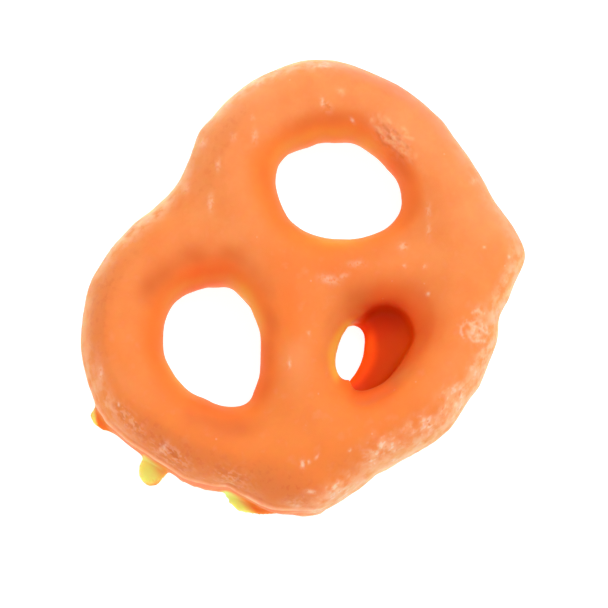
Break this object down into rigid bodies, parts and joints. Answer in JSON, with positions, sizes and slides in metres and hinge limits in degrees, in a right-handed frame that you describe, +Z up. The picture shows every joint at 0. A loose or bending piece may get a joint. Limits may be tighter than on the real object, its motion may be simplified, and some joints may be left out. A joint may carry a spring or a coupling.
{
  "type": "yogurt covered pretzel",
  "caption": "Coated mini pretzel: a rope bent into loops round open holes, its ends crossed in the middle and resting on the belly, with a flat base.",
  "frame": {"origin": "on the surface that the pretzel lies on, under the middle of its outline", "axes": "+Z up, +Y towards the notch between the two lobes, -Y towards the belly, +X along its width"},
  "size_m": [0.042, 0.0344, 0.0085],
  "materials": {
    "yogurt_coating": "matte, waxy orange yogurt coating with a pale bloom on its ridges"
  },
  "bodies": {
    "root": {"pretzel": "yogurt_coating"}
  },
  "joints": []
}
